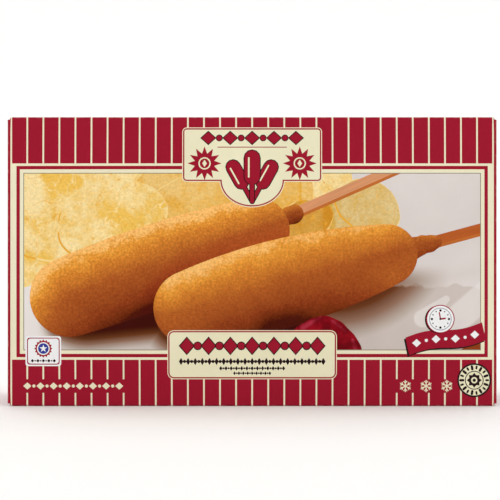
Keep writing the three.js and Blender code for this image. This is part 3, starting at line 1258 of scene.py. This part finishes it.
# Where the food touches what it lies on or against, and where its shadows fall. A body needs an
# axis, so a spot that is nearly round has a short one.
FRONT_CONTACT = body_mm((10, 36.5), (20, 38), 7)
BACK_CONTACT = body_mm((-48, 42), (-54, 36), 6)
FRONT_SHADOW = body_mm((35, 93), (36, 93), 40.8)
TIP_SHADOW = body_mm((-29, 46), (-24, 47), 17)
BACK_SHADOW = body_mm((-77, 56.5), (72, 71.5), 20)
PLATE_FOLD = body_mm((82, 58), (112, 69), 5, 4)
PLATE_STREAKS = (
    body_mm((79.5, 41), (90.5, 50), 4.2, 1.7),
    body_mm((93, 38.5), (113, 55.5), 6.5),
)
STEP_FOOT, STEP_HEAD = 55.4 * MM, 56.6 * MM  # where the plate turns up and its shade weakens
RIM_POINT, RIM_LIE = (97 * MM, 26 * MM), math.radians(40)  # of the plate's near right rim


def divided(colour, other):
    """One colour over another, level by level."""
    return tuple(level / most for level, most in zip(colour, other))


def plate_shade(nodes, u, v):
    """How deep the food's shadow is on the plate, from 0 to 1."""
    edge = nodes.math("ADD", v, nodes.around(nodes.noise(nodes.place, 90.0), 6 * MM))
    inner = nodes.ease(u, -101 * MM, -93 * MM)
    dim = nodes.math("MULTIPLY", nodes.ease(edge, STEP_FOOT, STEP_HEAD, 0.12, 0.0), inner)
    front = nodes.math("MAXIMUM", soft_spot(nodes, FRONT_SHADOW, 0.94, 1.72), dim)
    fold = nodes.math("MULTIPLY", soft_spot(nodes, PLATE_FOLD, 0.0, 1.5), 0.09)
    front = nodes.math("MAXIMUM", front, fold)
    weak = nodes.ease(edge, STEP_FOOT, STEP_HEAD, 1.0, 0.6)
    below = nodes.math("SUBTRACT", weak, nodes.ease(v, 57 * MM, 67 * MM, 0.0, 0.6))
    left = nodes.math("SUBTRACT", inner, nodes.ease(u, -30 * MM, -20 * MM))
    back = nodes.math("MULTIPLY", soft_spot(nodes, BACK_SHADOW, 1.06, 1.70), left)
    shade = nodes.math("MAXIMUM", nodes.math("MULTIPLY", front, below), back)
    shade = nodes.math("MAXIMUM", shade, soft_spot(nodes, TIP_SHADOW, 0.8, 1.75))
    return nodes.math("MAXIMUM", shade, soft_spot(nodes, FRONT_CONTACT, 0.9, 1.6))


def plate(name, colours, board_colour):
    """A pale plate with soft shadows under the food and streaks of light, and the table beyond
    its near right rim."""
    nodes = Nodes(name)
    _, (u, v, _) = nodes.local((0, 0), 0, (1, 1, 1))
    cloud = nodes.noise(nodes.place, 30.0)
    light = nodes.tone(colours.plate, nodes.ease(cloud, 0.3, 0.7, 0.97, 1.02))
    light = nodes.mix(nodes.ease(u, -88 * MM, -104 * MM), light, colours.plate_gleam)
    shades = (colours.shade_pale, colours.shade_middle, colours.shade_brown, colours.shadow)
    stops = [(0.0, (1, 1, 1))]
    for i, shade in enumerate(shades, 1):
        stops.append((i / len(shades), divided(shade, colours.plate)))
    colour = nodes.times(light, nodes.ramp(plate_shade(nodes, u, v), stops))
    for streak in PLATE_STREAKS:
        share = nodes.math("MULTIPLY", soft_spot(nodes, streak, 0.85, 1.1), 0.62)
        colour = nodes.mix(share, colour, colours.plate_gleam)
    _, (_, beyond, _) = nodes.local(RIM_POINT, RIM_LIE, (1, 1, 1))
    colour = nodes.mix(nodes.ease(beyond, 0.4 * MM, -0.4 * MM), colour, colours.batter_low)
    return finish_board(nodes, colour, board_colour)


CHIP_TINTS = (  # where the chips are more golden than elsewhere, or paler: by how much, and where
    (1.6, body_mm((-95, 109), (-81.5, 104.5), 3.6, 2.4)),
    (0.5, body_mm((-92, 103), (-86, 101), 5, 4)),
    (0.3, body_mm((-85, 79), (-80, 78), 2)),
    (0.45, body_mm((-98, 82), (-95, 72), 4.5)),
    (0.8, body_mm((-104, 70), (-94, 68), 2.5)),
    (0.5, body_mm((-66, 90), (-58, 86), 4)),
    (0.6, body_mm((-57, 83), (-44, 94), 8)),
    (0.9, body_mm((35.6, 94), (35.6, 84), 2.6)),
    (0.9, body_mm((22.6, 95), (22.4, 105), 0.7)),
    (-0.8, body_mm((-104, 104), (-102, 95), 6)),
    (-0.7, body_mm((-46, 106), (-38, 102), 5)),
    (-0.8, body_mm((-87, 75), (-83, 75), 3)),
)


def chip_flesh(name, colour, rim, board_colour):
    """Fried potato: rippled pale and golden, with fine golden cracks, pale ridges and freckles."""
    nodes = Nodes(name)
    pale = Vector(colour) * Vector((1.07, 1.12, 1.3))
    gold = Vector(colour) * Vector((0.99, 0.81, 0.38))
    wide = nodes.noise(nodes.place, 60.0, 3.0)
    ripple = nodes.noise(nodes.place, 240.0, 4.0, 0.7)
    level = nodes.math("ADD", nodes.around(wide, 1.6), nodes.around(ripple, 1.3))
    for tint, body in CHIP_TINTS:
        level = nodes.math("MULTIPLY_ADD", soft_spot(nodes, body, 0.1, 1.6), tint, level)
    flesh = nodes.mix(nodes.math("ADD", level, 0.38), pale, gold)
    patches = nodes.ease(nodes.noise(nodes.place, 55.0), 0.48, 0.62)
    cracks = nodes.veins(42.0, 2.0, 0.03, 0.5)
    flesh = nodes.mix(nodes.math("MULTIPLY", cracks, patches), flesh, rim)
    ridges = nodes.veins(70.0, 3.0, 0.035, 0.8)
    between = nodes.math("SUBTRACT", 1.0, patches)
    flesh = nodes.mix(nodes.math("MULTIPLY", ridges, between), flesh, pale)
    freckles = nodes.ease(nodes.noise(nodes.place, 300.0, 3.0, 0.7), 0.62, 0.72, 0.0, 0.7)
    flesh = nodes.mix(freckles, flesh, rim)
    grain = nodes.ease(nodes.noise(nodes.place, 800.0, 4.0, 0.8), 0.3, 0.7, 0.91, 1.09)
    return finish_board(nodes, nodes.tone(flesh, grain), board_colour)


FRIED_EDGES = (
    body_mm((-91.5, 79), (-86.5, 73), 2.4),
    body_mm((-107, 73), (-103, 70), 2.4),
    body_mm((22.6, 90), (22.4, 106), 2.4),
    body_mm((36, 96), (46, 82), 4),
)


def chip_rim(name, pale, rim, board_colour):
    """The edge of a chip, pale in places and fried in others."""
    nodes = Nodes(name)
    share = nodes.ease(nodes.noise(nodes.place, 60.0, 2.0), 0.56, 0.70)
    for edge in FRIED_EDGES:
        share = nodes.math("MAXIMUM", share, soft_spot(nodes, edge, 0.8, 1.4))
    return finish_board(nodes, nodes.mix(share, Vector(pale) * 1.06, rim), board_colour)


def stick_wood(name, colour, way, board_colour):
    """Pale wood with grain along the stick."""
    nodes = Nodes(name)
    along_stick, _ = nodes.local((0, 0), math.atan2(way.y, way.x), (20, 1, 1))
    streaks = nodes.ease(nodes.noise(along_stick, 1100.0, 3.0), 0.2, 0.8, 0.94, 1.06)
    return finish_board(nodes, nodes.tone(colour, streaks), board_colour)


SAUCE_STREAKS = (
    body_mm((23.6, 36.8), (32, 41.8), 1.1, 0.5),
    body_mm((37.5, 39.8), (43.5, 35.2), 0.6, 0.4),
    body_mm((46.8, 31), (48, 27), 0.6, 0.9),
)


def sauce(name, colours, board_colour):
    """Thick red sauce with dark hollows and a few pink streaks of light."""
    nodes = Nodes(name)
    lumps = nodes.noise(nodes.place, 130.0, 3.0, 0.6)
    colour = nodes.tone(colours.sauce, nodes.ease(lumps, 0.3, 0.7, 0.65, 1.35))
    glow = nodes.ease(lumps, 0.35, 0.65, 0.1, 0.6)
    for streak in SAUCE_STREAKS:
        share = nodes.math("MULTIPLY", soft_spot(nodes, streak, 0.2, 1.9), glow)
        colour = nodes.mix(share, colour, colours.sauce_gleam)
    return finish_board(nodes, colour, board_colour)


# --- Operators ---


def the_blank(scene):
    """The blank of the sizes that the scene holds."""
    return Blank(scene.carton_sizes)


def the_cut(scene):
    """The scene's blank cut along its print."""
    blank = the_blank(scene)
    return CutBlank(blank, draw_print(blank, scene.carton_print, scene.carton_picture))


def picture_colours(scene):
    """The picture's colours, and that of the board under them."""
    return scene.carton_picture_inks, scene.carton_inks.board


class CARTON_OT_ground(bpy.types.Operator):
    """Fold up the red board that stands for the CAD carton"""

    bl_idname = "carton.ground"
    bl_label = "Red board"

    def execute(self, context):
        inks = context.scene.carton_inks
        material = flat_ink("red_ink", inks.red, inks.board)
        piece = fold_region(the_cut(context.scene), "red_board", material)
        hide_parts("carton")
        return {"FINISHED"}


class CARTON_OT_inks(bpy.types.Operator):
    """Add the flat inks: stripes, frames, plaques, ornaments and badges"""

    bl_idname = "carton.inks"
    bl_label = "Flat inks"

    def execute(self, context):
        inks = context.scene.carton_inks
        cut = the_cut(context.scene)
        colours = {
            "cream_lines": inks.cream,
            "plaque": inks.plaque,
            "keyline": inks.keyline,
            "black": inks.black,
            "white": inks.white,
            "steel": inks.steel,
            "blue": inks.blue,
        }
        for name, colour in colours.items():
            fold_region(cut, name, flat_ink(name + "_ink", colour, inks.board))
        return {"FINISHED"}


class CARTON_OT_plate(bpy.types.Operator):
    """Add the pictured plate with the shadows on it"""

    bl_idname = "carton.plate"
    bl_label = "Plate"

    def execute(self, context):
        scene = context.scene
        fold_region(the_cut(scene), "plate", plate("plate_print", *picture_colours(scene)))
        return {"FINISHED"}


class CARTON_OT_chips(bpy.types.Operator):
    """Add the pictured chips and their fried rims"""

    bl_idname = "carton.chips"
    bl_label = "Chips"

    def execute(self, context):
        scene = context.scene
        cut = the_cut(scene)
        colours, board_colour = picture_colours(scene)
        rim_colour = colours.chip_rim
        for tone in dict.fromkeys(chip.tone for chip in CHIPS):
            colour = getattr(colours, "chip_" + tone)
            flesh = chip_flesh(tone + "_chip_print", colour, rim_colour, board_colour)
            fold_region(cut, tone + "_chips", flesh)
        rim = chip_rim("chip_rim_print", colours.chip_pale, rim_colour, board_colour)
        fold_region(cut, "chip_rims", rim)
        return {"FINISHED"}


class CARTON_OT_sticks(bpy.types.Operator):
    """Add the pictured sticks, a lit and a shaded face each"""

    bl_idname = "carton.sticks"
    bl_label = "Sticks"

    def execute(self, context):
        scene = context.scene
        cut = the_cut(scene)
        colours, board_colour = picture_colours(scene)
        for dog in corn_dogs(scene.carton_picture):
            for name in (dog.name + "_stick", dog.name + "_stick_side"):
                wood = stick_wood(name + "_print", getattr(colours, name), dog.way, board_colour)
                fold_region(cut, name, wood)
        return {"FINISHED"}


class CARTON_OT_corn_dogs(bpy.types.Operator):
    """Add the two pictured corn dogs and the collars of batter on their sticks"""

    bl_idname = "carton.corn_dogs"
    bl_label = "Corn dogs"

    def execute(self, context):
        scene = context.scene
        cut, inks = the_cut(scene), picture_colours(scene)
        front, back = corn_dogs(scene.carton_picture)
        looks = (
            (front, FRONT_LIGHT, FRONT_COLLAR_LIGHT, FRONT_CONTACT, None),
            (back, BACK_LIGHT, BACK_COLLAR_LIGHT, BACK_CONTACT, front.body),
        )
        for dog, light, collar_light, contact, shaded_by in looks:
            body = batter(dog.name + "_print", dog.body, *inks, light, contact, shaded_by)
            fold_region(cut, dog.name + "_corn_dog", body)
            collar = batter(dog.name + "_collar_print", dog.collar, *inks, collar_light)
            fold_region(cut, dog.name + "_collar", collar)
        return {"FINISHED"}


class CARTON_OT_sauce(bpy.types.Operator):
    """Add the pictured sauce"""

    bl_idname = "carton.sauce"
    bl_label = "Sauce"

    def execute(self, context):
        scene = context.scene
        fold_region(the_cut(scene), "sauce", sauce("sauce_print", *picture_colours(scene)))
        return {"FINISHED"}


class CARTON_OT_bare_board(bpy.types.Operator):
    """Add the board's unprinted inner side and cut edges"""

    bl_idname = "carton.bare_board"
    bl_label = "Bare board"

    def execute(self, context):
        scene = context.scene
        fold_bare_board(the_blank(scene), bare_board(scene.carton_inks.board))
        return {"FINISHED"}


SIDE_LIGHT = Vector((0.85, -0.75, 0.35))  # the right one; the left one is its mirror image
TOP_LIGHT = Vector((0, 0.35, 1.3))


class CARTON_OT_stage(bpy.types.Operator):
    """Set up the floor, the lights and the camera"""

    bl_idname = "carton.stage"
    bl_label = "Stage"

    def execute(self, context):
        scene = context.scene
        studio = scene.carton_studio
        low, high = cad_bounds
        add_floor(studio, low)
        for side in (-1, 1):
            spot = Vector((side * SIDE_LIGHT.x, SIDE_LIGHT.y, SIDE_LIGHT.z))
            add_light("side_light", spot, (low + high) / 2, studio.side_size, studio.side_power)
        below = Vector((TOP_LIGHT.x, TOP_LIGHT.y, 0))
        add_light("top_light", TOP_LIGHT, below, studio.top_size, studio.top_power)
        add_sky(scene, studio)
        scene.view_settings.view_transform = "Standard"
        add_camera(scene, studio, low.y + scene.carton_sizes.face_bulge)
        return {"FINISHED"}


def add_floor(studio, low):
    """Studio paper, flat under the carton, that turns up into a round wall."""
    flat, curve, wall, sides, curve_steps = 0.9, 0.4, 1.6, 64, 12
    gap = 0.05 * MM  # keeps the paper and the bottom panel from lying in one plane
    profile = [(0.35, 0.0), (flat, 0.0)]
    for i in range(1, curve_steps + 1):
        turn = QUARTER_TURN * i / curve_steps
        profile.append((flat + curve * math.sin(turn), curve * (1 - math.cos(turn))))
    profile.append((flat + curve, wall))
    places = [(0, 0, low.z - gap)]
    for radius, height in profile:
        for x, y in arc((0, 0), radius, 0, math.tau, sides)[:-1]:
            places.append((x, y, low.z - gap + height))
    faces = [(0, 1 + i, 1 + (i + 1) % sides) for i in range(sides)]
    for ring in range(len(profile) - 1):
        first = 1 + ring * sides
        for i in range(sides):
            near, far = first + i, first + (i + 1) % sides
            faces.append((near, near + sides, far + sides, far))
    mesh = bpy.data.meshes.new("studio_floor")
    mesh.from_pydata(places, [], faces)
    mesh.shade_smooth()
    mesh.materials.append(studio_paper(studio.floor))
    floor = bpy.data.objects.new("studio_floor", mesh)
    bpy.context.scene.collection.objects.link(floor)
    floor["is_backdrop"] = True


def studio_paper(colour):
    """Dull paper without a pattern."""
    material = bpy.data.materials.new("studio_paper")
    material.use_nodes = True
    shader = material.node_tree.nodes["Principled BSDF"]
    shader.inputs["Base Color"].default_value = (*colour, 1)
    shader.inputs["Roughness"].default_value = 0.9
    shader.inputs["Specular IOR Level"].default_value = 0.1
    return material


def add_sky(scene, studio):
    """Even white light from all round."""
    world = bpy.data.worlds.new("sky")
    world.use_nodes = True
    background = world.node_tree.nodes["Background"]
    background.inputs["Color"].default_value = (1, 1, 1, 1)
    background.inputs["Strength"].default_value = studio.sky
    scene.world = world


def aim(thing, spot, target):
    """Puts a lamp or a camera at a spot and turns it towards a target."""
    thing.location = spot
    thing.rotation_euler = (target - spot).to_track_quat("-Z", "Y").to_euler()


def add_light(name, spot, target, size, power):
    """A square lamp that shines at a target."""
    lamp = bpy.data.lights.new(name, "AREA")
    lamp.size = size
    lamp.energy = power
    light = bpy.data.objects.new(name, lamp)
    aim(light, spot, target)
    bpy.context.scene.collection.objects.link(light)


def add_camera(scene, studio, front):
    """A level camera whose view is as wide at the front panel as asked."""
    lens = bpy.data.cameras.new("camera")
    lens.lens = studio.lens
    distance = studio.view_width * studio.lens / lens.sensor_width
    spot = Vector((-studio.camera_side, front - distance, studio.camera_height))
    camera = bpy.data.objects.new("camera", lens)
    aim(camera, spot, spot + Vector((0, 1, 0)))
    scene.collection.objects.link(camera)
    scene.camera = camera


class CARTON_PT_panel(bpy.types.Panel):
    """The carton's operators and settings"""

    bl_idname = "CARTON_PT_panel"
    bl_label = "Frozen food carton"
    bl_space_type = "VIEW_3D"
    bl_region_type = "UI"
    bl_category = "Carton"

    def draw(self, context):
        for operator in OPERATORS:
            self.layout.operator(operator.bl_idname)
        for name, group in SETTINGS.items():
            box = self.layout.box()
            for setting in group.__annotations__:
                box.prop(getattr(context.scene, name), setting)


SETTINGS = {
    "carton_sizes": CartonSizes,
    "carton_print": PrintSizes,
    "carton_picture": PictureSizes,
    "carton_inks": PrintColours,
    "carton_picture_inks": PictureColours,
    "carton_studio": StudioSettings,
}
OPERATORS = (
    CARTON_OT_ground,
    CARTON_OT_inks,
    CARTON_OT_plate,
    CARTON_OT_chips,
    CARTON_OT_sticks,
    CARTON_OT_corn_dogs,
    CARTON_OT_sauce,
    CARTON_OT_bare_board,
    CARTON_OT_stage,
)


def register():
    for kind in (*SETTINGS.values(), *OPERATORS, CARTON_PT_panel):
        bpy.utils.register_class(kind)
    for name, group in SETTINGS.items():
        setattr(bpy.types.Scene, name, PointerProperty(type=group))


def unregister():
    for name in SETTINGS:
        delattr(bpy.types.Scene, name)
    for kind in (CARTON_PT_panel, *reversed(OPERATORS), *reversed(SETTINGS.values())):
        bpy.utils.unregister_class(kind)


def main():
    """Builds the carton and its stage, and works out how large it came out."""
    register()
    bpy.ops.carton.ground()
    bpy.ops.carton.inks()
    bpy.ops.carton.plate()
    bpy.ops.carton.chips()
    bpy.ops.carton.sticks()
    bpy.ops.carton.corn_dogs()
    bpy.ops.carton.sauce()
    bpy.ops.carton.bare_board()
    bpy.ops.carton.stage()
    made = {"cad": cad_bounds, "visual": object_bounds()}
    {name: [list(corner) for corner in box] for name, box in made.items()}


if __name__ == "__main__":
    main()
